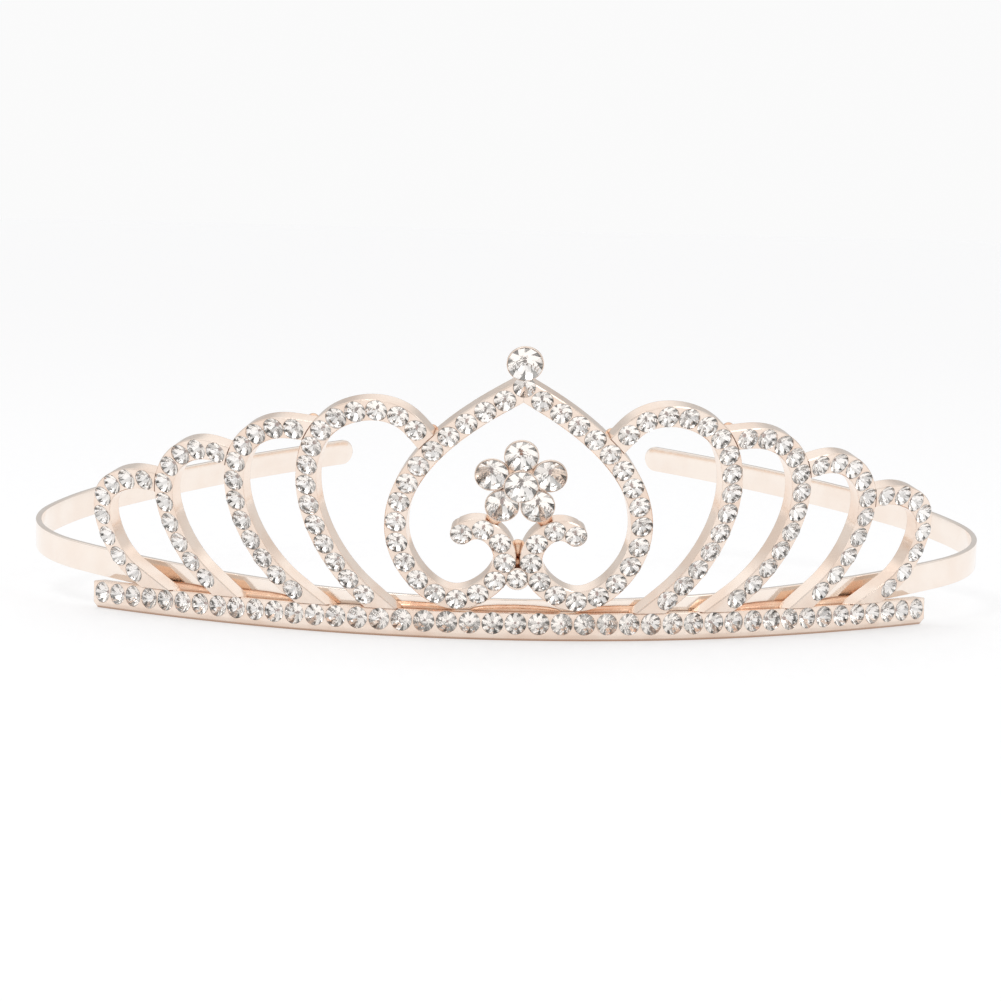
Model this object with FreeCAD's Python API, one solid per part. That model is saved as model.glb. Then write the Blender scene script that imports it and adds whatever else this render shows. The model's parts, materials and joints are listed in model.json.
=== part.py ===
import FreeCAD, Part
import math
import os

# Bridal tiara: stone-set strips on a curved base rail, soldered to an open, springy hoop.
# Millimetres.  X is to the right, Y to the back of the head, Z up.  The origin is on the
# mirror plane, in the middle of the narrow face under the rail that the tiara stands on.
# The design is mirrored in the plane X = 0: the right half is drawn and mirrored.

# ---- Stones: round chatons in conical seats ----
STONE_RADIUS = 1.53
LARGE_STONE_RADIUS = 2.3
FINIAL_STONE_RADIUS = 2.4
BRIDGE_STONE_RADIUS = 1.45
BRIDGE_CUP_RADIUS = 1.75
TABLE_SHARE = 0.58
CROWN_SHARE = 0.30
PAVILION_SHARE = 0.80
CULET_SHARE = 0.12
GIRDLE_HEIGHT = 0.08
GLUE_GAP = 0.01

# ---- Strips: the metal that holds each row ----
STRIP_WIDTH = 3.2
STRIP_DEPTH = 2.1
STRIP_CHAMFER = 0.15
TRIM_EXTRA = 0.6
RAIL_TRIM_EXTRA = 1.5
GIRDLE_SUNK = 0.12
SEAT_MOUTH = 2.0

# ---- The curved face of the tiara, a cone whose base follows the rail ----
FRONT_RADIUS = 74.0
FRONT_HALF_ARC = 38.0
SIDE_RADIUS = 141.0
FACE_LEAN = math.radians(21.3)

# ---- Base rail ----
RAIL_STONES = 43
RAIL_PITCH = 3.3
RAIL_END_MARGIN = 1.9
RAIL_LIP = 0.9
FILED_OFF = 0.1
RAIL_CENTRE_HEIGHT = STRIP_WIDTH / 2 + RAIL_LIP
RAIL_LEAN = 0.0
REST_FACE_MIDDLE = (RAIL_LIP + STRIP_DEPTH) / 2

# ---- Arches, outermost first: stones, and the first-to-last-stone line on the face ----
# A point is (distance along the rail from the middle, slant height above the rail's stones).
ARCHES = [
    (8, [(61.2, 4.1), (64.7, 11.2), (63.2, 16.6), (58.9, 19.3), (54.4, 19.7)]),
    (10, [(47.3, 4.4), (51.5, 13.2), (50.8, 19.8), (46.6, 24.4), (40.8, 25.0)]),
    (12, [(32.6, 3.8), (38.4, 13.0), (38.9, 20.2), (35.2, 27.5), (28.7, 29.4)]),
    (15, [(21.7, 3.8), (27.5, 14.0), (27.7, 23.5), (23.3, 31.1), (17.5, 32.8), (13.0, 30.0)]),
]
FOOT_REACH = 8.0
TIP_REACH = 3.0

# ---- Spade-shaped middle frame: one branch from the apex, round the loop, to the scroll ----
SPADE_STONES = 20
SPADE_LINE = [(2.2, 34.9), (10.6, 27.4), (15.9, 18.0), (15.7, 9.9), (8.9, 3.65),
              (3.0, 6.9), (1.8, 10.9), (4.5, 14.7), (7.6, 14.1)]
SPADE_TOP_REACH = 6.0
SPADE_SCROLL_REACH = STRIP_WIDTH / 2
APEX_HEIGHT = 37.0

# ---- Finial, bridge and flower, all on the mirror plane ----
FINIAL_HEIGHT = 40.9
FINIAL_FORWARD = 0.85
BRIDGE_HEIGHT = 7.2
FLOWER_HEIGHT = 22.2
PETALS = 5
PETAL_RING_RADIUS = 4.25
FLOWER_CENTRE_FORWARD = 2.1
FLOWER_CENTRE_RAISED = 0.6
CUP_WALL = 0.16
CUP_TAPER = 0.62
CUP_FLOOR = 0.35
PLATE_THICKNESS = 0.6
PLATE_RADIUS = 3.2
STEM_RADIUS = 0.7

# ---- Hoop: a flat strip bent into an open oval, its plane tipped up at the back ----
BAND_HEIGHT = 4.4
BAND_THICKNESS = 0.9
BAND_TIP = math.radians(6.4)
BAND_FRONT_Y = 1.01
BAND_FRONT_Z = 1.34
# Right half of its outer line from the middle of the front: (radius, degrees) of each arc.
BAND_ARCS = [(71.0, 28.9), (144.0, 16.1), (28.8, 59.4), (72.0, 18.3), (212.0, 15.7)]
SPRING_ARC = 2
SPRING_DISTANCE = 12.0
SPRING_GAP = 0.2

# ---- Solder ----
FOOT_SOLDER_RADIUS = 1.4
FOOT_SOLDER_DROP = 2.4
SOLDER_BEHIND = 0.3
TIP_SOLDER_RADIUS = 0.9
TIP_SOLDER_REACH = 2.0
SCROLL_SOLDER_RADIUS = 1.2
SCROLL_SOLDER_HEIGHTS = (11.0, 8.5)
FLOWER_SOLDER_S = 3.2
FLOWER_SOLDER_HEIGHT = 16.6
RAIL_SOLDER_S = (-55.5, -41.0, -15.5, 0.0, 15.5, 41.0, 55.5)
RAIL_SOLDER_RADIUS = 0.9
RAIL_SOLDER_LENGTH = 13.0
RUN_STEPS = 8

V = FreeCAD.Vector
FINE_STEPS = 240
ROOM = 200.0


# ---------------------------------------------------------------- the curved face
def plan_point(s):
    """Rail line seen from above: x, y and heading at distance s along it."""
    side = math.copysign(1.0, s)
    arc = abs(s)
    front = min(arc, FRONT_HALF_ARC)
    turn = front / FRONT_RADIUS
    x = FRONT_RADIUS * math.sin(turn)
    y = FRONT_RADIUS * (1.0 - math.cos(turn))
    if arc > front:
        turn_end = turn + (arc - front) / SIDE_RADIUS
        x += SIDE_RADIUS * (math.sin(turn_end) - math.sin(turn))
        y += SIDE_RADIUS * (math.cos(turn) - math.cos(turn_end))
        turn = turn_end
    return side * x, y, side * turn


def face_frame(s, lean=FACE_LEAN):
    """Directions on the face at s: along the rail, up the slant, and outward."""
    heading = plan_point(s)[2]
    along = V(math.cos(heading), math.sin(heading), 0)
    level_out = V(math.sin(heading), -math.cos(heading), 0)
    up = level_out * math.sin(lean) + V(0, 0, math.cos(lean))
    out = level_out * math.cos(lean) - V(0, 0, math.sin(lean))
    return along, up, out


def face_point(s, v, forward=0.0, lean=FACE_LEAN):
    """Point on the face at slant height v, moved outward by forward."""
    x, y = plan_point(s)[:2]
    up, out = face_frame(s, lean)[1:]
    return V(x, y - REST_FACE_MIDDLE, RAIL_CENTRE_HEIGHT) + up * v + out * forward


# ---------------------------------------------------------------- lines on the face
def smooth_line(points):
    """Curve through the given (s, v) points, sampled evenly in its own parameter."""
    curve = Part.BSplineCurve()
    curve.interpolate([V(s, v, 0) for s, v in points])
    first, last = curve.FirstParameter, curve.LastParameter
    samples = []
    for i in range(FINE_STEPS + 1):
        p = curve.value(first + (last - first) * i / FINE_STEPS)
        samples.append((p.x, p.y))
    return samples


def extend_line(samples, start_reach, end_reach):
    """The sampled line with a straight run added at each end."""
    def beyond(a, b, reach):
        length = math.dist(a, b)
        return (a[0] + (a[0] - b[0]) * reach / length, a[1] + (a[1] - b[1]) * reach / length)
    longer = list(samples)
    if start_reach:
        longer.insert(0, beyond(samples[0], samples[1], start_reach))
    if end_reach:
        longer.append(beyond(samples[-1], samples[-2], end_reach))
    return longer


def spaced(samples, count):
    """count (s, v) stations at equal true distances along the sampled line, ends included."""
    points = [face_point(s, v) for s, v in samples]
    travelled = [0.0]
    for a, b in zip(points, points[1:]):
        travelled.append(travelled[-1] + a.distanceToPoint(b))
    stations = []
    k = 0
    for i in range(count):
        target = travelled[-1] * i / (count - 1)
        while k < len(points) - 2 and travelled[k + 1] < target:
            k += 1
        share = (target - travelled[k]) / (travelled[k + 1] - travelled[k])
        a, b = samples[k], samples[k + 1]
        stations.append((a[0] + (b[0] - a[0]) * share, a[1] + (b[1] - a[1]) * share))
    return stations


# ---------------------------------------------------------------- solids
def strip_profile():
    """Cross-section of a strip: (across, inward) corners, front edges chamfered."""
    half = STRIP_WIDTH / 2
    return [(-half + STRIP_CHAMFER, 0), (half - STRIP_CHAMFER, 0), (half, STRIP_CHAMFER),
            (half, STRIP_DEPTH), (-half, STRIP_DEPTH), (-half, STRIP_CHAMFER)]


def rail_profile():
    """Cross-section of the unfiled rail: a strip with a bevelled lip along its lower side."""
    half = STRIP_WIDTH / 2
    foot = half + RAIL_LIP + FILED_OFF
    return [(-half + STRIP_CHAMFER, 0), (half, 0), (foot, RAIL_LIP), (foot, STRIP_DEPTH),
            (-half, STRIP_DEPTH), (-half, STRIP_CHAMFER)]


def trim_profile(front_extra):
    """Cross-section used to trim a strip that butts on another: as wide, but deeper."""
    half = STRIP_WIDTH / 2
    back = STRIP_DEPTH + TRIM_EXTRA
    return [(-half, -front_extra), (half, -front_extra), (half, back), (-half, back)]


def strip_solid(stations, profile, lean=FACE_LEAN):
    """Strip swept along the stations, square to its line and level with the face."""
    centres = [face_point(s, v, 0.0, lean) for s, v in stations]
    rails = [[] for _ in profile]
    for i, (s, v) in enumerate(stations):
        ahead = centres[min(i + 1, len(centres) - 1)] - centres[max(i - 1, 0)]
        out = face_frame(s, lean)[2]
        across = ahead.normalize().cross(out)
        for rail, (side, inward) in zip(rails, profile):
            rail.append(centres[i] + across * side - out * inward)
    edges = []
    same_parameters = [float(i) for i in range(len(stations))]
    for rail in rails:
        curve = Part.BSplineCurve()
        curve.interpolate(Points=rail, Parameters=same_parameters)
        edges.append(curve.toShape())
    faces = [Part.makeRuledSurface(a, b, 1) for a, b in zip(edges, edges[1:] + edges[:1])]
    for end in (0, -1):
        corners = [rail[end] for rail in rails]
        faces.append(Part.Face(Part.makePolygon(corners + corners[:1])))
    shell = Part.makeShell(faces)
    shell.sewShape()
    solid = Part.Solid(shell)
    if solid.Volume < 0:
        solid.reverse()
    return solid


def turned(outline, place, out):
    """Solid turned from (radius, height) corners about the line through place along out."""
    wire = Part.makePolygon([V(r, 0, z) for r, z in outline + outline[:1]])
    solid = Part.Face(wire).revolve(V(0, 0, 0), V(0, 0, 1), 360)
    solid = Part.Solid(solid.Shells[0]) if solid.ShapeType != "Solid" else solid
    solid.Placement = FreeCAD.Placement(place, FreeCAD.Rotation(V(0, 0, 1), out))
    return solid


def stone(place, out, radius=STONE_RADIUS):
    """Round chaton with its girdle centred on place and its table facing out."""
    return turned([(0, -PAVILION_SHARE * radius), (CULET_SHARE * radius, -PAVILION_SHARE * radius),
                   (radius, -GIRDLE_HEIGHT / 2), (radius, GIRDLE_HEIGHT / 2),
                   (TABLE_SHARE * radius, CROWN_SHARE * radius), (0, CROWN_SHARE * radius)],
                  place, out)


def seat(place, out, radius=STONE_RADIUS):
    """The room cut for a stone: its pavilion with a glue gap, open to the front."""
    wide = radius + GLUE_GAP
    floor = -PAVILION_SHARE * radius - GLUE_GAP
    return turned([(0, floor), (CULET_SHARE * radius + GLUE_GAP, floor),
                   (wide, -GIRDLE_HEIGHT / 2 - GLUE_GAP), (wide, SEAT_MOUTH), (0, SEAT_MOUTH)],
                  place, out)


def cup(place, out, radius, base_radius):
    """Tapered cup whose rim closes round a stone's girdle."""
    floor = -PAVILION_SHARE * radius - CUP_FLOOR
    rim = radius + CUP_WALL
    body = turned([(0, floor), (base_radius, floor), (rim, -GIRDLE_HEIGHT - CUP_WALL),
                   (rim, GIRDLE_HEIGHT), (0, GIRDLE_HEIGHT)], place, out)
    return body.cut(seat(place, out, radius))


def mirrored(shape):
    return shape.mirror(V(0, 0, 0), V(1, 0, 0))


def largest(shape):
    """The biggest solid of a cut, so that slivers past a joint are dropped."""
    return max(shape.Solids, key=lambda solid: solid.Volume)


def set_along(make, stations, lean=FACE_LEAN):
    """A stone or a seat at every station, sunk to its girdle."""
    return [make(face_point(s, v, -GIRDLE_SUNK, lean), face_frame(s, lean)[2])
            for s, v in stations]


# ---------------------------------------------------------------- base rail
def rail_stations():
    half = (RAIL_STONES - 1) / 2
    return [((i - half) * RAIL_PITCH, 0.0) for i in range(RAIL_STONES)]


def rail_line():
    reach = (RAIL_STONES - 1) / 2 * RAIL_PITCH + RAIL_END_MARGIN
    steps = 2 * RAIL_STONES
    return [(-reach + 2 * reach * i / steps, 0.0) for i in range(steps + 1)]


# ---------------------------------------------------------------- arches and spade
def scroll_end_cut(stations):
    """What is removed to round a strip's end about the last stone."""
    along, up, out = face_frame(stations[-1][0])
    last, before = stations[-1], stations[-2]
    ahead = (along * (last[0] - before[0]) + up * (last[1] - before[1])).normalize()
    half = STRIP_WIDTH / 2
    depth = 3 * STRIP_DEPTH
    block = Part.makeBox(STRIP_WIDTH, 2 * STRIP_WIDTH, depth, V(0, -STRIP_WIDTH, -depth / 2))
    corner = block.cut(Part.makeCylinder(half, depth, V(0, 0, -depth / 2)))
    turn = FreeCAD.Rotation(ahead, out.cross(ahead), out, "XZY")
    corner.Placement = FreeCAD.Placement(face_point(*last), turn)
    return corner


def arch_line(count, line):
    samples = extend_line(smooth_line(line), FOOT_REACH, TIP_REACH)
    return spaced(samples, 2 * count + 5)


def spade_line():
    samples = extend_line(smooth_line(SPADE_LINE), SPADE_TOP_REACH, SPADE_SCROLL_REACH)
    return spaced(samples, 3 * SPADE_STONES)


def right_half(shape):
    """What is left of a shape on the right of the mirror plane."""
    return largest(shape.cut(Part.makeBox(ROOM, 2 * ROOM, 2 * ROOM, V(-ROOM, -ROOM, -ROOM))))


def filed_flat(shape):
    """What is left of a shape above the level that the tiara stands on."""
    return largest(shape.cut(Part.makeBox(2 * ROOM, 2 * ROOM, ROOM, V(-ROOM, -ROOM, -ROOM))))


# ---------------------------------------------------------------- hoop
def band_path():
    """Right half of the hoop's outer line from above: arcs as (start, mid, end, heading)."""
    x, y, heading = 0.0, 0.0, 0.0
    arcs = []
    for radius, degrees in BAND_ARCS:
        cx = x - radius * math.sin(heading)
        cy = y + radius * math.cos(heading)
        marks = []
        for share in (0.0, 0.5, 1.0):
            turn = heading + math.radians(degrees) * share
            marks.append((cx + radius * math.sin(turn), cy - radius * math.cos(turn), turn))
        arcs.append(marks)
        x, y, heading = marks[2]
    return arcs


def band_place(shape):
    """Tip the flat-lying hoop up at the back and set its front against the rail."""
    place = FreeCAD.Rotation(V(1, 0, 0), math.degrees(BAND_TIP))
    shape.Placement = FreeCAD.Placement(V(0, BAND_FRONT_Y, BAND_FRONT_Z), place)
    return shape


def band_strip(arcs):
    """Flat strip standing on edge along the arcs, its outer side on the line."""
    outer = []
    inner = []
    for marks in arcs:
        outer.append([V(x, y, 0) for x, y, _ in marks])
        inner.append([V(x - BAND_THICKNESS * math.sin(t), y + BAND_THICKNESS * math.cos(t), 0)
                      for x, y, t in marks])
    edges = [Part.Arc(*points).toShape() for points in outer]
    edges.append(Part.makeLine(outer[-1][2], inner[-1][2]))
    edges += [Part.Arc(*reversed(points)).toShape() for points in reversed(inner)]
    edges.append(Part.makeLine(inner[0][0], outer[0][0]))
    return Part.Face(Part.Wire(edges)).extrude(V(0, 0, BAND_HEIGHT))


def part_arc(marks, skip_start=0.0, skip_end=0.0):
    """An arc of the hoop shortened by the given lengths at its ends."""
    (x0, y0, t0), (_, _, _), (x2, y2, t2) = marks
    radius = math.hypot(x2 - x0, y2 - y0) / (2 * math.sin((t2 - t0) / 2))
    cx = x0 - radius * math.sin(t0)
    cy = y0 + radius * math.cos(t0)
    low = t0 + skip_start / radius
    high = t2 - skip_end / radius
    return [(cx + radius * math.sin(t), cy - radius * math.cos(t), t)
            for t in (low, (low + high) / 2, high)]


def rounded_end_cut(marks):
    """What is removed to round the hoop's end in its own height."""
    x, y, turn = marks[2]
    half = BAND_HEIGHT / 2
    block = Part.makeBox(half, 4 * BAND_THICKNESS, BAND_HEIGHT, V(-half, -2 * BAND_THICKNESS, 0))
    disc = Part.makeCylinder(half, 4 * BAND_THICKNESS, V(-half, -2 * BAND_THICKNESS, half), V(0, 1, 0))
    corner = block.cut(disc)
    corner.Placement = FreeCAD.Placement(V(x, y, 0), FreeCAD.Rotation(math.degrees(turn), 0, 0))
    return corner


def make_band():
    """Front of the hoop and its two arms, with a narrow gap at each spring line."""
    arcs = band_path()
    radius, degrees = BAND_ARCS[SPRING_ARC]
    beyond = radius * math.radians(degrees) - SPRING_DISTANCE
    front_end = part_arc(arcs[SPRING_ARC], 0.0, beyond + SPRING_GAP / 2)
    arm_start = part_arc(arcs[SPRING_ARC], SPRING_DISTANCE + SPRING_GAP / 2, 0.0)
    right_front = band_strip(arcs[:SPRING_ARC] + [front_end])
    front = right_front.fuse(mirrored(right_front)).removeSplitter()
    arm = band_strip([arm_start] + arcs[SPRING_ARC + 1:]).cut(rounded_end_cut(arcs[-1]))
    left_arm = mirrored(arm)
    return band_place(largest(front)), band_place(largest(arm)), band_place(largest(left_arm))


# ---------------------------------------------------------------- flower, bridge, finial
def petal_spots():
    """(s, v) of the petals: a ring with one petal straight up."""
    spots = []
    for i in range(PETALS):
        turn = math.pi / 2 + 2 * math.pi * i / PETALS
        spots.append((PETAL_RING_RADIUS * math.cos(turn),
                      FLOWER_HEIGHT + PETAL_RING_RADIUS * math.sin(turn)))
    return spots


def make_flower():
    """Petal cups joined by a back plate, the petals, and the raised centre cup and stone."""
    along, up, out = face_frame(0)
    middle = face_point(0, FLOWER_HEIGHT)
    floor = PAVILION_SHARE * LARGE_STONE_RADIUS + CUP_FLOOR
    setting = turned([(0, -floor), (PLATE_RADIUS, -floor), (PLATE_RADIUS, -floor + PLATE_THICKNESS),
                      (0, -floor + PLATE_THICKNESS)], middle, out)
    petals = []
    seats = []
    for s, v in petal_spots():
        place = middle + along * s + up * (v - FLOWER_HEIGHT)
        petals.append(stone(place, out, LARGE_STONE_RADIUS))
        seats.append(seat(place, out, LARGE_STONE_RADIUS))
        setting = setting.fuse(cup(place, out, LARGE_STONE_RADIUS, LARGE_STONE_RADIUS * CUP_TAPER))
    setting = setting.cut(Part.makeCompound(seats))
    raised = middle + out * FLOWER_CENTRE_FORWARD + up * FLOWER_CENTRE_RAISED
    centre_cup = cup(raised, out, LARGE_STONE_RADIUS, STEM_RADIUS)
    stem_foot = -FLOWER_CENTRE_FORWARD - floor + PLATE_THICKNESS
    stem_top = -PAVILION_SHARE * LARGE_STONE_RADIUS - CUP_FLOOR
    stem = turned([(0, stem_foot), (STEM_RADIUS, stem_foot), (STEM_RADIUS, stem_top), (0, stem_top)],
                  raised, out)
    centre_cup = centre_cup.fuse(stem).removeSplitter()
    return largest(setting), petals, largest(centre_cup), stone(raised, out, LARGE_STONE_RADIUS)


def bridge_seat():
    """The seat of the bridge's stone, which also bites into the strips on both sides."""
    place = face_point(0, BRIDGE_HEIGHT, -GIRDLE_SUNK)
    return seat(place, face_frame(0)[2], BRIDGE_STONE_RADIUS)


def make_bridge(neighbours):
    """Small cup that closes the space between the two loops, and its stone."""
    out = face_frame(0)[2]
    place = face_point(0, BRIDGE_HEIGHT, -GIRDLE_SUNK)
    back = GIRDLE_SUNK - STRIP_DEPTH
    body = turned([(0, back), (BRIDGE_CUP_RADIUS, back), (BRIDGE_CUP_RADIUS, GIRDLE_SUNK),
                   (0, GIRDLE_SUNK)], place, out)
    body = body.cut(neighbours).cut(bridge_seat())
    return largest(body), stone(place, out, BRIDGE_STONE_RADIUS)


# ---------------------------------------------------------------- solder
def filling(bead, neighbours):
    """What is left of a bead of solder between the pieces that it joins."""
    return largest(bead.cut([neighbour.copy() for neighbour in neighbours]))


def solder(spots, radius, neighbours):
    """Round beads that fill the corner at each spot between the pieces that they join."""
    return [filling(Part.makeSphere(radius, spot), neighbours) for spot in spots]


def rail_run(s):
    """Run of solder along the rail's upper back edge, thick in the middle and thin at its ends."""
    outline = []
    for i in range(RUN_STEPS + 1):
        turn = math.pi * (i / RUN_STEPS - 0.5)
        outline.append((RAIL_SOLDER_RADIUS * math.cos(turn), RAIL_SOLDER_LENGTH / 2 * math.sin(turn)))
    outline[0] = (0, outline[0][1])
    outline[-1] = (0, outline[-1][1])
    edge = face_point(s, STRIP_WIDTH / 2, -STRIP_DEPTH, RAIL_LEAN)
    return turned(outline, edge, face_frame(s)[0])


def behind(s, v):
    """Point just behind the back of a strip."""
    return face_point(s, v, -STRIP_DEPTH - SOLDER_BEHIND)


# ---------------------------------------------------------------- assembly
def make_rail(parts, rooms):
    rooms["rail"] = filed_flat(strip_solid(rail_line(), rail_profile(), RAIL_LEAN))
    rooms["rail_trim"] = strip_solid(rail_line(), trim_profile(RAIL_TRIM_EXTRA), RAIL_LEAN)
    stations = rail_stations()
    seats = Part.makeCompound(set_along(seat, stations, RAIL_LEAN))
    parts["base_rail"] = rooms["rail"].cut(seats)
    parts["rail_stones"] = set_along(stone, stations, RAIL_LEAN)


def make_finial(parts, rooms):
    out = face_frame(0)[2]
    place = face_point(0, FINIAL_HEIGHT, FINIAL_FORWARD)
    base_radius = FINIAL_STONE_RADIUS * CUP_TAPER
    parts["finial_cup"] = cup(place, out, FINIAL_STONE_RADIUS, base_radius)
    parts["finial_stone"] = stone(place, out, FINIAL_STONE_RADIUS)
    floor = -PAVILION_SHARE * FINIAL_STONE_RADIUS - CUP_FLOOR
    rim = FINIAL_STONE_RADIUS + CUP_WALL
    rooms["finial"] = turned([(0, floor), (base_radius, floor), (rim, -GIRDLE_HEIGHT - CUP_WALL),
                              (rim, SEAT_MOUTH), (0, SEAT_MOUTH)], place, out)


def make_spade(parts, rooms):
    """Right branch of the spade, its stones, and the apex stone that both branches share."""
    line = spade_line()
    room = right_half(strip_solid(line, strip_profile()))
    stations = spaced(smooth_line(SPADE_LINE), SPADE_STONES)
    room = room.cut(scroll_end_cut(stations)).cut(rooms["rail_trim"]).cut(rooms["finial"])
    rooms["spade"] = largest(room)
    rooms["spade_trim"] = right_half(strip_solid(line, trim_profile(TRIM_EXTRA)))
    apex_place = face_point(0, APEX_HEIGHT, -GIRDLE_SUNK)
    out = face_frame(0)[2]
    seats = set_along(seat, stations) + [seat(apex_place, out), bridge_seat()]
    parts["spade_right"] = largest(rooms["spade"].cut(Part.makeCompound(seats)))
    parts["spade_right_stones"] = set_along(stone, stations)
    parts["apex_stone"] = stone(apex_place, out)


def make_arches(parts, rooms):
    """Right arches from the innermost out, each trimmed on the rail and on its neighbour."""
    inner_trim = rooms["spade_trim"]
    for number in range(len(ARCHES), 0, -1):
        count, line = ARCHES[number - 1]
        path = arch_line(count, line)
        room = strip_solid(path, strip_profile()).cut(rooms["rail_trim"]).cut(inner_trim)
        stations = spaced(smooth_line(line), count)
        name = "arch_right_%d" % number
        seats = Part.makeCompound(set_along(seat, stations))
        rooms[name] = largest(room)
        parts[name] = largest(rooms[name].cut(seats))
        parts[name + "_stones"] = set_along(stone, stations)
        inner_trim = strip_solid(path, trim_profile(TRIM_EXTRA))


def make_right_solder(rooms, band):
    """Beads behind the feet and the tips of the right arches."""
    feet = []
    tips = []
    for number, (_, line) in enumerate(ARCHES, 1):
        s, v = line[0]
        feet.append(behind(s, v - FOOT_SOLDER_DROP))
        tips.append(behind(*extend_line(line, 0, TIP_SOLDER_REACH)[-1]))
    strips = [rooms["arch_right_%d" % n] for n in range(1, len(ARCHES) + 1)]
    strips += [rooms["rail"], rooms["spade"], band]
    return solder(feet, FOOT_SOLDER_RADIUS, strips), solder(tips, TIP_SOLDER_RADIUS, strips)


def build():
    parts = {}
    rooms = {}
    make_rail(parts, rooms)
    make_finial(parts, rooms)
    make_spade(parts, rooms)
    make_arches(parts, rooms)
    parts["headband_front"], parts["headband_arm_right"], parts["headband_arm_left"] = make_band()

    spades = [rooms["spade"], mirrored(rooms["spade"])]
    parts["bridge_cup"], parts["bridge_stone"] = make_bridge(spades)
    setting, petals, centre_cup, centre_stone = make_flower()
    parts["flower_setting"] = largest(setting.cut(spades))
    parts["petal_stones"] = petals
    parts["flower_centre_cup"] = centre_cup
    parts["flower_centre_stone"] = centre_stone

    feet, tips = make_right_solder(rooms, parts["headband_front"])
    parts["foot_solder"] = feet + [mirrored(bead) for bead in feet]
    parts["tip_solder"] = tips + [mirrored(bead) for bead in tips]
    scroll_spots = [behind(0, v) for v in SCROLL_SOLDER_HEIGHTS]
    bridge = [parts["bridge_cup"], parts["bridge_stone"]]
    parts["scroll_solder"] = solder(scroll_spots, SCROLL_SOLDER_RADIUS, spades + bridge)
    flower_spots = [face_point(side * FLOWER_SOLDER_S, FLOWER_SOLDER_HEIGHT, -STRIP_DEPTH / 2)
                    for side in (-1, 1)]
    parts["flower_solder"] = solder(flower_spots, SCROLL_SOLDER_RADIUS,
                                    spades + [parts["flower_setting"]] + petals)
    arches = [rooms["arch_right_%d" % n] for n in range(1, len(ARCHES) + 1)]
    rail_neighbours = spades + arches + [mirrored(arch) for arch in arches] + parts["foot_solder"]
    rail_neighbours += [rooms["rail"], parts["headband_front"]]
    parts["rail_solder"] = [filling(rail_run(s), rail_neighbours) for s in RAIL_SOLDER_S]

    right_names = [name for name in parts if name.startswith(("arch_right", "spade_right"))]
    for name in right_names:
        shape = parts[name]
        other = [mirrored(one) for one in shape] if isinstance(shape, list) else mirrored(shape)
        parts[name.replace("right", "left")] = other
    return parts


def write(parts):
    os.makedirs("parts", exist_ok=True)
    for name, shape in parts.items():
        if isinstance(shape, list):
            shape = Part.makeCompound(shape)
        shape.exportStep(os.path.join("parts", name + ".step"))


write(build())
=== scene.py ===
"""Looks of the bridal tiara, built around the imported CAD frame.  Metres, in the frame's axes."""

import bisect
import json
import math
import random

import bmesh
import bpy
from mathutils import Euler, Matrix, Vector, geometry


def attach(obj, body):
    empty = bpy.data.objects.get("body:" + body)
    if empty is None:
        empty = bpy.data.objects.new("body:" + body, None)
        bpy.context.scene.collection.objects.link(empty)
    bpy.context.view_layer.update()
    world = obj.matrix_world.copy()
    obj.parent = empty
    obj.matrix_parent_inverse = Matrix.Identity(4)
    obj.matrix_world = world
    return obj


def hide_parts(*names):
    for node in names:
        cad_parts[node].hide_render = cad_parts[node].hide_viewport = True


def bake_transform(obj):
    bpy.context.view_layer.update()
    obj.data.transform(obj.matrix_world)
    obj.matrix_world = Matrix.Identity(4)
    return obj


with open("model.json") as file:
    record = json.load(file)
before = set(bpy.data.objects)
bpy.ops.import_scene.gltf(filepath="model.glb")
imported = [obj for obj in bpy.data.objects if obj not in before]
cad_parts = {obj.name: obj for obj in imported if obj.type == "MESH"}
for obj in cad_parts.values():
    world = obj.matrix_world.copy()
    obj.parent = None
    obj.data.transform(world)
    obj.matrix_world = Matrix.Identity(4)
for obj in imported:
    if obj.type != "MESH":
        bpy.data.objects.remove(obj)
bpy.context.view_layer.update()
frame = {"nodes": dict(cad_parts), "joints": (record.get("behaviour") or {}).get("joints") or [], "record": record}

MM = 0.001
SAME_PLACE = 0.001 * MM
LEVEL_SLACK = 0.01 * MM

# ---- Metals: pale and deep colour, roughness, and strength of the polish marks ----
METALS = {
    "rose_gold_setting": ((0.95, 0.82, 0.72), (0.89, 0.72, 0.605), 0.16, 0.15),
    "rose_gold_band": ((0.96, 0.865, 0.785), (0.935, 0.82, 0.73), 0.10, 0.05),
    "rose_gold_solder": ((0.94, 0.67, 0.49), (0.84, 0.51, 0.35), 0.25, 0.8),
}
BAND = "rose_gold_band"
EDGE_RADIUS = 0.12 * MM
COLOUR_DRIFT_SCALE = 180.0
MARKS_SCALE = 2600.0
MARKS_DEPTH = 0.02 * MM
# Painted shade: reach of the ambient occlusion that darkens corners and crevices.
PAINTED_SHADE_REACH = 0.45 * MM
PAINTED_SHADE_TONE = (0.62, 0.5, 0.42)         # share of the deep colour that is left in the corners, as painted shade

# ---- Stones: lengths are shares of a stone's radius unless in MM ----
FOLD = 8
TABLE_RADIUS = 0.54
STAR_RADIUS = 0.78
CROWN_RISE = 0.34
GIRDLE_RISE = 0.035
PAVILION_DROP = 0.75
LOWER_HALF_RADIUS = 0.42
CULET_RADIUS = 0.12
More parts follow.
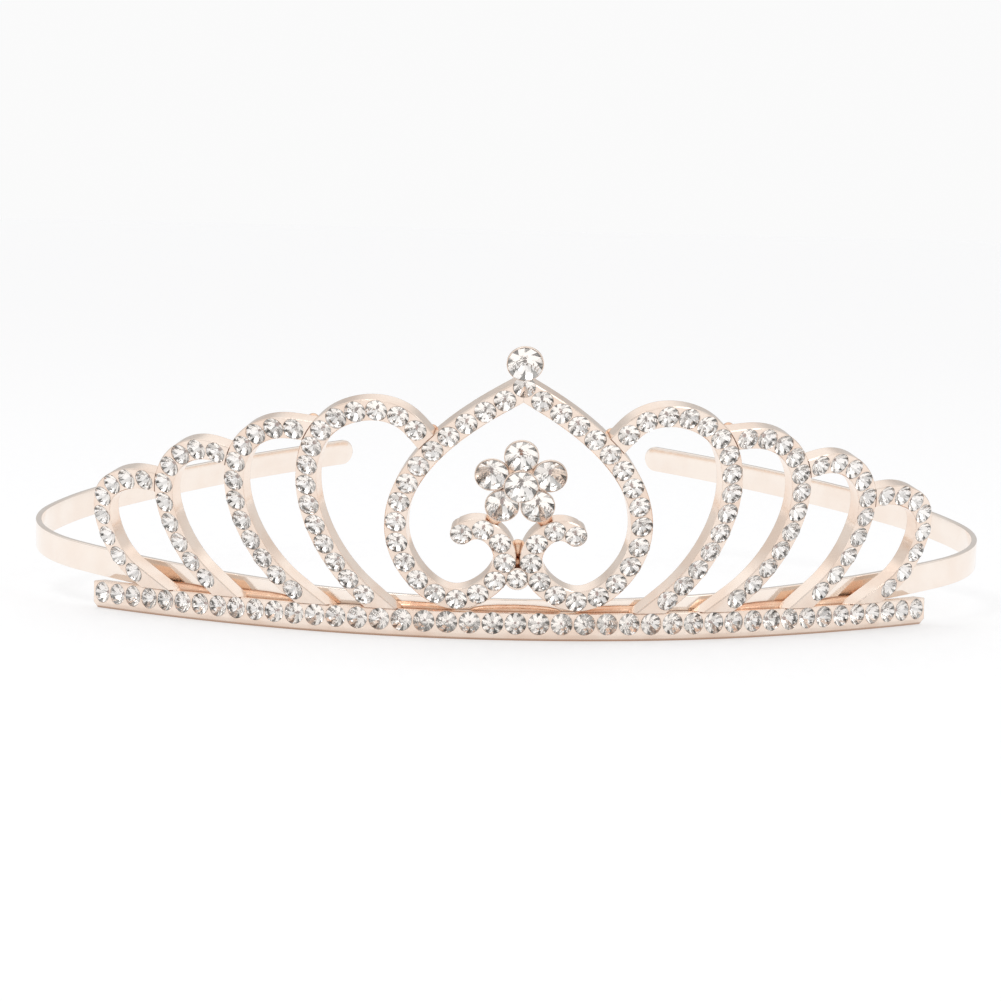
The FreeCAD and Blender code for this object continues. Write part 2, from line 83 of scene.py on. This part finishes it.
# Range of tone of the foil on each kind of back facet: 0 rosy, 0.2 dark grey, above 0.52 silver. The grey and
# silver facets are painted shade and painted reflection, which make the sparkle's fans.
CULET_TONES = (0.0, 0.15)
INNER_TONES = (0.2, 1.0)
MAIN_TONES = (0.38, 1.0)
SHADED_HALF_TONES = (0.18, 0.36)
LIT_HALF_TONES = (0.45, 1.0)
FOIL_ROSY = (0.42, 0.33, 0.30, 1.0)
FOIL_SHADE_GREY = (0.21, 0.205, 0.195, 1.0)
FOIL_SILVER = (0.94, 0.91, 0.88, 1.0)
SHADE_GREY_STOP = 0.2
SILVER_STOP = 0.52
# Painted light: the foil glows with its own colour, though it is no lamp.
FOIL_PAINTED_GLOW = 0.12
FOIL_ROUGHNESS = (0.02, 0.07)
FOIL_CLOUD_SCALE = 900.0
CRYSTAL_REFRACTION = 1.3
CRYSTAL_TINTS = ((0.93, 0.93, 0.94), (1.0, 1.0, 1.0))
STONE_GROWTH = 1.02
STONE_SHIFT = 0.05 * MM
STONE_TILT = math.radians(2.0)
STONE_LIFT = 0.045                      # outward; keeps the foil in front of the metal seat

# ---- Hoop ----
HOOP_NODES = ("headband_front", "headband_arm_right", "headband_arm_left")
HOOP_THICKNESS = 0.9 * MM
HOOP_STEP = 0.9 * MM
HOOP_EDGE = 0.16 * MM                   # radius of the strip's long edges
EDGE_STEPS = 3
CORNER_SPACING = 0.5 * MM               # corners of the outline nearer than this are one
STEPS_PER_CORNER = 12
TIP_GAP = 0.01 * MM
HOOP_END_STEPS = 12
SHARP_ANGLE = math.radians(40)

# ---- Camera and stage ----
CAMERA_PLACE = Vector((-0.01354, -0.44766, 0.05923))
CAMERA_TURN = Euler((math.radians(84.99), math.radians(-1.35), math.radians(-1.29)), "XYZ")
CAMERA_LENS = 113.3
SENSOR_WIDTH = 36.0
FLOOR_DROP = 0.02 * MM
FLOOR_REACH = 30.0
FLOOR_TONES = ((0.53, 0.53, 0.535), (0.55, 0.55, 0.555))
FLOOR_GLOW = 0.45
PAPER_GRAIN_SCALE = 400.0
BACKGROUND_WHITE = 0.96
CEILING_GLOW = 0.5
SIDE_GLOW = 0.2
FRONT_GLOW = 0.95                       # from the camera's side
BACK_GLOW = 0.77
LAMPS = (                               # name, place, size and power in watts
    ("key", (-0.35, -0.35, 0.75), 0.35, 1.0),
    ("fill", (0.55, -0.45, 0.45), 0.30, 0.4),
)


# ---------------------------------------------------------------- node helpers
def new_material(name):
    """A material with an empty node tree."""
    material = bpy.data.materials.new(name)
    material.use_nodes = True
    material.node_tree.nodes.clear()
    return material


def add(tree, kind, **values):
    """A node of that kind; values set its properties, or its inputs by name."""
    node = tree.nodes.new(kind)
    for key, value in values.items():
        if hasattr(node, key):
            setattr(node, key, value)
        else:
            node.inputs[key.replace("_", " ")].default_value = value
    return node


def link(tree, source, socket, target, name):
    """Join an output, by name or number, to an input."""
    tree.links.new(source.outputs[socket], target.inputs[name])


def finish_material(tree, shader):
    """Send the shader to the material's output."""
    output = add(tree, "ShaderNodeOutputMaterial")
    tree.links.new(shader.outputs[0], output.inputs["Surface"])


def map_range(tree, source, socket, low, high, to_low, to_high):
    """The source's value, eased from low..high to to_low..to_high."""
    node = add(tree, "ShaderNodeMapRange", interpolation_type="SMOOTHSTEP")
    node.inputs["From Min"].default_value = low
    node.inputs["From Max"].default_value = high
    node.inputs["To Min"].default_value = to_low
    node.inputs["To Max"].default_value = to_high
    link(tree, source, socket, node, "Value")
    return node


def colour_mix(tree, factor, low, high):
    """Mix of two colours by the output of the factor node."""
    node = add(tree, "ShaderNodeMix", data_type="RGBA")
    node.inputs[6].default_value = (*low, 1.0)
    node.inputs[7].default_value = (*high, 1.0)
    tree.links.new(factor.outputs[0], node.inputs[0])
    return node


# ---------------------------------------------------------------- materials
def rose_gold(name, soft_edges):
    """Rose-gold plate: colour drifts a little, corners are darker as painted shade, fine polish marks."""
    pale, deep, roughness, grain = METALS[name]
    material = new_material(name)
    tree = material.node_tree
    place = add(tree, "ShaderNodeTexCoord")
    # A slow drift between the two colours.
    drift = add(tree, "ShaderNodeTexNoise", Scale=COLOUR_DRIFT_SCALE, Detail=3.0)
    link(tree, place, "Object", drift, "Vector")
    share = map_range(tree, drift, 0, 0.35, 0.7, 0.0, 1.0)
    colour = colour_mix(tree, share, pale, deep)
    # Painted shade: corners and crevices, found by ambient occlusion, are darker and redder.
    shade_probe = add(tree, "ShaderNodeAmbientOcclusion", samples=6, Distance=PAINTED_SHADE_REACH)
    shade = map_range(tree, shade_probe, 1, 0.35, 0.92, 0.0, 1.0)
    dark = tuple(channel * tone for channel, tone in zip(deep, PAINTED_SHADE_TONE))
    painted_shade_mix = add(tree, "ShaderNodeMix", data_type="RGBA")
    painted_shade_mix.inputs[6].default_value = (*dark, 1.0)
    tree.links.new(colour.outputs[2], painted_shade_mix.inputs[7])
    tree.links.new(shade.outputs[0], painted_shade_mix.inputs[0])
    # Polish marks, in the roughness and as a shallow bump.
    marks = add(tree, "ShaderNodeTexNoise", Scale=MARKS_SCALE, Detail=2.0)
    link(tree, place, "Object", marks, "Vector")
    rough = map_range(tree, marks, 0, 0.3, 0.7, roughness * 0.7, roughness * 1.5)
    bump = add(tree, "ShaderNodeBump", Strength=grain, Distance=MARKS_DEPTH)
    link(tree, marks, 0, bump, "Height")
    if soft_edges:
        soft_edge = add(tree, "ShaderNodeBevel", samples=4, Radius=EDGE_RADIUS)
        link(tree, soft_edge, 0, bump, "Normal")
    shader = add(tree, "ShaderNodeBsdfPrincipled", Metallic=1.0)
    tree.links.new(painted_shade_mix.outputs[2], shader.inputs["Base Color"])
    tree.links.new(rough.outputs[0], shader.inputs["Roughness"])
    tree.links.new(bump.outputs[0], shader.inputs["Normal"])
    finish_material(tree, shader)
    return material


def crystal():
    """The clear front facets, some a little greyer than others."""
    material = new_material("crystal_front")
    tree = material.node_tree
    shader = add(tree, "ShaderNodeBsdfPrincipled", Roughness=0.0, IOR=CRYSTAL_REFRACTION)
    shader.inputs["Transmission Weight"].default_value = 1.0
    facet = add(tree, "ShaderNodeAttribute", attribute_name="facet")
    share = map_range(tree, facet, "Fac", 0.0, 1.0, 0.0, 1.0)
    tone = colour_mix(tree, share, *CRYSTAL_TINTS)
    tree.links.new(tone.outputs[2], shader.inputs["Base Color"])
    finish_material(tree, shader)
    return material


def foil():
    """The foiled back facets: silver, some greyer than others as painted shade and painted reflection, rosy and
    dark at the point, glowing a little with painted light.
    """
    material = new_material("crystal_foil")
    tree = material.node_tree
    facet = add(tree, "ShaderNodeAttribute", attribute_name="facet")
    ramp = add(tree, "ShaderNodeValToRGB")
    stops = ramp.color_ramp.elements
    stops[0].color = FOIL_ROSY
    stops[1].position = SILVER_STOP
    stops[1].color = FOIL_SILVER
    # The dark grey stop is painted shade on the foil.
    grey = stops.new(SHADE_GREY_STOP)
    grey.color = FOIL_SHADE_GREY
    link(tree, facet, "Fac", ramp, "Fac")
    place = add(tree, "ShaderNodeTexCoord")
    cloud = add(tree, "ShaderNodeTexNoise", Scale=FOIL_CLOUD_SCALE, Detail=1.0)
    link(tree, place, "Object", cloud, "Vector")
    rough = map_range(tree, cloud, 0, 0.3, 0.7, *FOIL_ROUGHNESS)
    # Painted light: the foil's colour glows a little.
    shader = add(tree, "ShaderNodeBsdfPrincipled", Metallic=1.0, Emission_Strength=FOIL_PAINTED_GLOW)
    tree.links.new(ramp.outputs[0], shader.inputs["Base Color"])
    tree.links.new(ramp.outputs[0], shader.inputs["Emission Color"])
    tree.links.new(rough.outputs[0], shader.inputs["Roughness"])
    finish_material(tree, shader)
    return material


def pale_floor():
    """White paper lit from within a little, so that shadows stay faint."""
    material = new_material("stage_floor")
    tree = material.node_tree
    place = add(tree, "ShaderNodeTexCoord")
    grain = add(tree, "ShaderNodeTexNoise", Scale=PAPER_GRAIN_SCALE, Detail=3.0)
    link(tree, place, "Object", grain, "Vector")
    share = map_range(tree, grain, 0, 0.3, 0.7, 0.0, 1.0)
    tone = colour_mix(tree, share, *FLOOR_TONES)
    shader = add(tree, "ShaderNodeBsdfPrincipled", Roughness=0.8, Emission_Strength=FLOOR_GLOW)
    shader.inputs["Emission Color"].default_value = (1.0, 1.0, 1.0, 1.0)
    shader.inputs["Specular IOR Level"].default_value = 0.1
    tree.links.new(tone.outputs[2], shader.inputs["Base Color"])
    finish_material(tree, shader)
    return material


# ---------------------------------------------------------------- stones
def brilliant():
    """Unit chaton: corner points, faces of the clear front and of the foiled back, and the back's tones."""
    def ring(count, radius, height, offset=0.0):
        return [Vector((radius * math.cos(2 * math.pi * (i + offset) / count),
                        radius * math.sin(2 * math.pi * (i + offset) / count), height))
                for i in range(count)]

    top = GIRDLE_RISE + CROWN_RISE
    slope = CROWN_RISE / (1.0 - TABLE_RADIUS)
    star_height = top - slope * (STAR_RADIUS * math.cos(math.pi / FOLD) - TABLE_RADIUS)
    points = ring(FOLD, TABLE_RADIUS, top)
    stars = len(points)
    points += ring(FOLD, STAR_RADIUS, star_height, 0.5)
    upper = len(points)
    points += ring(2 * FOLD, 1.0, GIRDLE_RISE)
    lower = len(points)
    points += ring(2 * FOLD, 1.0, -GIRDLE_RISE)
    halves = len(points)
    drop = PAVILION_DROP * (1.0 - LOWER_HALF_RADIUS * math.cos(math.pi / FOLD)) / (1.0 - CULET_RADIUS)
    points += ring(FOLD, LOWER_HALF_RADIUS, -drop, 0.5)
    culet = len(points)
    points += ring(FOLD, CULET_RADIUS, -PAVILION_DROP)

    front = [list(range(FOLD))]
    back = [list(range(culet + FOLD - 1, culet - 1, -1))]
    tones = [CULET_TONES]
    for i in range(FOLD):
        after = (i + 1) % FOLD
        before = (i - 1) % FOLD
        even = 2 * i
        odd = even + 1
        next_even = (even + 2) % (2 * FOLD)
        front.append([i, stars + before, upper + even, stars + i])
        front.append([i, stars + i, after])
        front.append([stars + i, upper + even, upper + odd])
        front.append([stars + i, upper + odd, upper + next_even])
        front.append([upper + even, lower + even, lower + odd, upper + odd])
        front.append([upper + odd, lower + odd, lower + next_even, upper + next_even])
        back.append([culet + i, halves + i, lower + even, halves + before])
        back.append([culet + after, halves + i, culet + i])
        back.append([halves + i, lower + odd, lower + even])
        back.append([halves + i, lower + next_even, lower + odd])
        tones += [MAIN_TONES, INNER_TONES, SHADED_HALF_TONES, LIT_HALF_TONES]
    return points, front, back, tones


def islands(mesh):
    """Vertex lists of a mesh's separate solids, after joining the vertices that coincide."""
    work = bmesh.new()
    work.from_mesh(mesh)
    bmesh.ops.remove_doubles(work, verts=work.verts, dist=SAME_PLACE)
    seen = set()
    for start in work.verts:
        if start in seen:
            continue
        group = [start]
        seen.add(start)
        for vertex in group:
            for edge in vertex.link_edges:
                other = edge.other_vert(vertex)
                if other not in seen:
                    seen.add(other)
                    group.append(other)
        yield group
    work.free()


def stone_place(group):
    """Centre of the girdle, outward direction and radius of one CAD stone."""
    areas = {}
    faces = dict.fromkeys(face for vertex in group for face in vertex.link_faces)
    for face in faces:
        key = tuple(round(c, 2) for c in face.normal)
        total, weighted = areas.get(key, (0.0, Vector()))
        areas[key] = (total + face.calc_area(), weighted + face.normal * face.calc_area())
    out = max(areas.values(), key=lambda entry: entry[0])[1].normalized()
    level = max(vertex.co.dot(out) for vertex in group)
    table = [vertex.co for vertex in group if vertex.co.dot(out) > level - LEVEL_SLACK]
    axis = sum(table, Vector()) / len(table)

    def reach(point):
        offset = point - axis
        return (offset - out * offset.dot(out)).length

    radius = max(reach(vertex.co) for vertex in group)
    girdle = [vertex.co for vertex in group if reach(vertex.co) > 0.99 * radius]
    height = sum((point - axis).dot(out) for point in girdle) / len(girdle)
    return axis + out * height, out, radius


def set_in_seat(points, centre, out, radius, luck):
    """The unit stone's points in one seat, as if set by hand: turned, tilted and a little off."""
    turn = out.to_track_quat("Z", "Y").to_matrix()
    lean = Euler((luck.uniform(-STONE_TILT, STONE_TILT), luck.uniform(-STONE_TILT, STONE_TILT),
                  luck.uniform(0, 2 * math.pi)))
    turn = turn @ lean.to_matrix()
    sideways = luck.uniform(-STONE_SHIFT, STONE_SHIFT)
    upwards = luck.uniform(-STONE_SHIFT, STONE_SHIFT)
    shift = turn @ Vector((sideways, upwards, 0)) + out * radius * STONE_LIFT
    return [centre + shift + turn @ (point * radius * STONE_GROWTH) for point in points]


def make_stones(node, front, back):
    """Faceted stones in place of a CAD node's plain ones, as one piece."""
    source = frame["nodes"][node]
    luck = random.Random(node)
    points, front_faces, back_faces, back_tones = brilliant()
    corners = []
    polygons = []
    tones = []
    for group in islands(source.data):
        centre, out, radius = stone_place(group)
        first = len(corners)
        corners += set_in_seat(points, centre, out, radius, luck)
        polygons += [[first + i for i in face] for face in front_faces + back_faces]
        tones += [luck.random() for _ in front_faces]
        tones += [luck.uniform(*limits) for limits in back_tones]
    mesh = bpy.data.meshes.new(node + "_cut")
    mesh.from_pydata(corners, [], polygons)
    mesh.materials.append(front)
    mesh.materials.append(back)
    stone_faces = len(front_faces) + len(back_faces)
    for i, polygon in enumerate(mesh.polygons):
        polygon.material_index = 1 if i % stone_faces >= len(front_faces) else 0
    attribute = mesh.attributes.new("facet", "FLOAT", "FACE")
    attribute.data.foreach_set("value", tones)
    piece = bpy.data.objects.new(node + "_cut", mesh)
    bpy.context.scene.collection.objects.link(piece)
    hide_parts(node)
    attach(piece, "tiara_front")
    return piece


# ---------------------------------------------------------------- hoop
def hoop_axes():
    """The hoop's own directions: right, back and up, from the joints' axis."""
    up = Vector(frame["joints"][0]["axis"]).normalized()
    if up.z < 0:
        up = -up
    right = Vector((1, 0, 0))
    return right, up.cross(right), up


def hoop_outline():
    """The hoop's outer line in its own plane, end to end, with its low level and its height."""
    right, back, up = hoop_axes()
    points = []
    for name in HOOP_NODES:
        points += [vertex.co.copy() for vertex in frame["nodes"][name].data.vertices]
    levels = [point.dot(up) for point in points]
    low = min(levels)
    height = max(levels) - low
    flat = [Vector((point.dot(right), point.dot(back))) for point, level in zip(points, levels)
            if level < low + LEVEL_SLACK]
    hull = []
    for i in geometry.convex_hull_2d(flat):
        if not hull or min((flat[i] - hull[0]).length, (flat[i] - hull[-1]).length) > CORNER_SPACING:
            hull.append(flat[i])
    widest = max(range(len(hull)), key=lambda i: (hull[i] - hull[i - 1]).length)
    line = hull[widest:] + hull[:widest]
    if line[0].x > line[-1].x:
        line.reverse()
    return line, low, height


def smooth_through(points):
    """Dense line through the points, with a smooth turn at each."""
    dense = []
    padded = [points[0] * 2 - points[1]] + points + [points[-1] * 2 - points[-2]]
    for before, a, b, after in zip(padded, padded[1:], padded[2:], padded[3:]):
        span = (b - a).length
        leave = (b - before) / ((a - before).length + span) * span
        arrive = (after - a) / ((after - b).length + span) * span
        for i in range(STEPS_PER_CORNER):
            t = i / STEPS_PER_CORNER
            dense.append(a * (2 * t**3 - 3 * t**2 + 1) + leave * (t**3 - 2 * t**2 + t)
                         + b * (3 * t**2 - 2 * t**3) + arrive * (t**3 - t**2))
    return dense + [points[-1]]


def at_length(line, travelled, target):
    """Point and direction of the dense line at a distance from its start."""
    k = min(bisect.bisect_right(travelled, target), len(line) - 1) - 1
    a, b = line[k], line[k + 1]
    share = (target - travelled[k]) / (travelled[k + 1] - travelled[k])
    return a.lerp(b, share), (b - a).normalized()


def hoop_section(half):
    """Outline of the strip's cross-section, (inward, up), for a given half height."""
    outline = []
    rise = min(HOOP_EDGE, half)
    corners = [(HOOP_THICKNESS - HOOP_EDGE, half - rise, 0), (HOOP_EDGE, half - rise, 1),
               (HOOP_EDGE, rise - half, 2), (HOOP_THICKNESS - HOOP_EDGE, rise - half, 3)]
    for inward, up, quarter in corners:
        for i in range(EDGE_STEPS + 1):
            turn = math.pi / 2 * (quarter + i / EDGE_STEPS)
            outline.append((inward + HOOP_EDGE * math.cos(turn), up + rise * math.sin(turn)))
    return outline


def hoop_stations(reach, half):
    """Distances along one half of the hoop, closer together round its end."""
    straight = reach - half
    count = round(straight / HOOP_STEP)
    stations = [straight * i / count for i in range(count)]
    for i in range(HOOP_END_STEPS):
        stations.append(straight + half * math.sin(math.pi / 2 * i / HOOP_END_STEPS))
    return stations + [reach - TIP_GAP]


def hoop_rings(side, line, travelled, low, half):
    """Cross-sections of one half of the hoop, from the middle of the front to its rounded end."""
    right, back, up = hoop_axes()
    middle = travelled[-1] / 2
    reach = middle + half
    rings = []
    for station in hoop_stations(reach, half):
        on_line = min(station, middle)
        spot, ahead = at_length(line, travelled, middle + side * on_line)
        spot += ahead * side * (station - on_line)
        inward = Vector((-ahead.y, ahead.x))
        past = max(0.0, station - (reach - half))
        section = hoop_section(math.sqrt(max(half**2 - past**2, 0.0)))
        rings.append([right * (spot.x + inward.x * depth) + back * (spot.y + inward.y * depth)
                      + up * (low + half + rise) for depth, rise in section])
    return rings


def tube(rings):
    """Points and faces of a closed tube through the rings."""
    points = [point for ring in rings for point in ring]
    count = len(rings[0])
    faces = []
    for k in range(len(rings) - 1):
        for i in range(count):
            after = (i + 1) % count
            faces.append([k * count + i, k * count + after, (k + 1) * count + after, (k + 1) * count + i])
    faces.append(list(range(count - 1, -1, -1)))
    faces.append([len(points) - count + i for i in range(count)])
    return points, faces


def bend_with_joint(piece, arm_body):
    """Bake the piece's placement into its points; the arm's joint and pivot are looked up but not used."""
    right, back, up = hoop_axes()
    joint = next(j for j in frame["joints"] if j["child"] == arm_body)
    pivot = Vector(joint["pos_m"])
    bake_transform(piece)


def make_hoop_half(side, name, material):
    """Half of the hoop, side 1 right or -1 left."""
    corners, low, height = hoop_outline()
    line = smooth_through(corners)
    travelled = [0.0]
    for a, b in zip(line, line[1:]):
        travelled.append(travelled[-1] + (b - a).length)
    points, faces = tube(hoop_rings(side, line, travelled, low, height / 2))
    mesh = bpy.data.meshes.new("hoop_half")
    mesh.from_pydata(points, [], faces)
    mesh.materials.append(material)
    fix_normals(mesh)
    mesh.shade_smooth()
    mesh.set_sharp_from_angle(angle=SHARP_ANGLE)
    piece = bpy.data.objects.new("hoop_" + name, mesh)
    bpy.context.scene.collection.objects.link(piece)
    bend_with_joint(piece, "hoop_arm_" + name)
    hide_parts("headband_front", "headband_arm_" + name)
    return piece


def fix_normals(mesh):
    """Turn every face outward."""
    work = bmesh.new()
    work.from_mesh(mesh)
    bmesh.ops.recalc_face_normals(work, faces=work.faces)
    work.to_mesh(mesh)
    work.free()


# ---------------------------------------------------------------- camera, light, floor
def make_camera():
    """The camera at the photo's angle."""
    data = bpy.data.cameras.new("camera")
    data.lens = CAMERA_LENS
    data.sensor_width = SENSOR_WIDTH
    data.clip_start = 0.01
    data.clip_end = 2 * FLOOR_REACH
    camera = bpy.data.objects.new("camera", data)
    camera.location = CAMERA_PLACE
    camera.rotation_euler = CAMERA_TURN
    bpy.context.scene.collection.objects.link(camera)
    bpy.context.scene.camera = camera


def make_floor():
    """A wide plain floor just under the tiara."""
    mesh = bpy.data.meshes.new("stage_floor")
    r = FLOOR_REACH
    mesh.from_pydata([(-r, -r, 0), (r, -r, 0), (r, r, 0), (-r, r, 0)], [], [(0, 1, 2, 3)])
    mesh.materials.append(pale_floor())
    floor = bpy.data.objects.new("stage_floor", mesh)
    floor.location.z = -FLOOR_DROP
    bpy.context.scene.collection.objects.link(floor)


def make_world():
    """A white studio: the camera sees plain white, reflections see soft boxes and darker gaps."""
    world = bpy.data.worlds.new("studio")
    bpy.context.scene.world = world
    world.use_nodes = True
    tree = world.node_tree
    tree.nodes.clear()
    place = add(tree, "ShaderNodeTexCoord")
    split = add(tree, "ShaderNodeSeparateXYZ")
    link(tree, place, "Generated", split, "Vector")
    # The ceiling and the two sides are brighter, and the wall behind the camera a little.
    overhead = map_range(tree, split, "Z", 0.45, 0.75, 0.0, CEILING_GLOW)
    side = add(tree, "ShaderNodeMath", operation="ABSOLUTE")
    link(tree, split, "X", side, 0)
    sides = map_range(tree, side, 0, 0.55, 0.8, 0.0, SIDE_GLOW)
    front = map_range(tree, split, "Y", -0.97, -0.7, FRONT_GLOW, BACK_GLOW)
    total = add(tree, "ShaderNodeMath", operation="ADD")
    tree.links.new(overhead.outputs[0], total.inputs[0])
    tree.links.new(sides.outputs[0], total.inputs[1])
    whole = add(tree, "ShaderNodeMath", operation="ADD")
    tree.links.new(total.outputs[0], whole.inputs[0])
    tree.links.new(front.outputs[0], whole.inputs[1])
    # The camera sees plain white instead.
    studio = add(tree, "ShaderNodeBackground")
    tree.links.new(whole.outputs[0], studio.inputs["Strength"])
    plain = add(tree, "ShaderNodeBackground", Strength=BACKGROUND_WHITE)
    plain.inputs["Color"].default_value = (1, 1, 1, 1)
    path = add(tree, "ShaderNodeLightPath")
    choose = add(tree, "ShaderNodeMixShader")
    link(tree, path, "Is Camera Ray", choose, 0)
    tree.links.new(studio.outputs[0], choose.inputs[1])
    tree.links.new(plain.outputs[0], choose.inputs[2])
    output = add(tree, "ShaderNodeOutputWorld")
    tree.links.new(choose.outputs[0], output.inputs["Surface"])


def make_lamp(name, place, size, power):
    """A soft square lamp aimed at the origin."""
    data = bpy.data.lights.new(name, "AREA")
    data.size = size
    data.energy = power
    lamp = bpy.data.objects.new(name, data)
    lamp.location = place
    lamp.rotation_euler = (-Vector(place)).to_track_quat("-Z", "Y").to_euler()
    bpy.context.scene.collection.objects.link(lamp)


def dress_pieces(metals):
    """Cut stones in place of the plain ones, and its metal on every other piece but the hoop."""
    front = crystal()
    back = foil()
    for entry in frame["record"]["subparts"]:
        node = entry["node"]
        slot = entry["material_slot"]
        if slot == "clear_crystal":
            make_stones(node, front, back)
        elif node not in HOOP_NODES:
            data = frame["nodes"][node].data
            data.materials.clear()
            data.materials.append(metals[slot])


gold = {name: rose_gold(name, soft_edges=name != BAND) for name in METALS}
make_hoop_half(1, "right", gold[BAND])
make_hoop_half(-1, "left", gold[BAND])
dress_pieces(gold)
make_camera()
make_floor()
make_world()
for lamp in LAMPS:
    make_lamp(*lamp)
bpy.context.scene.view_settings.view_transform = "Standard"
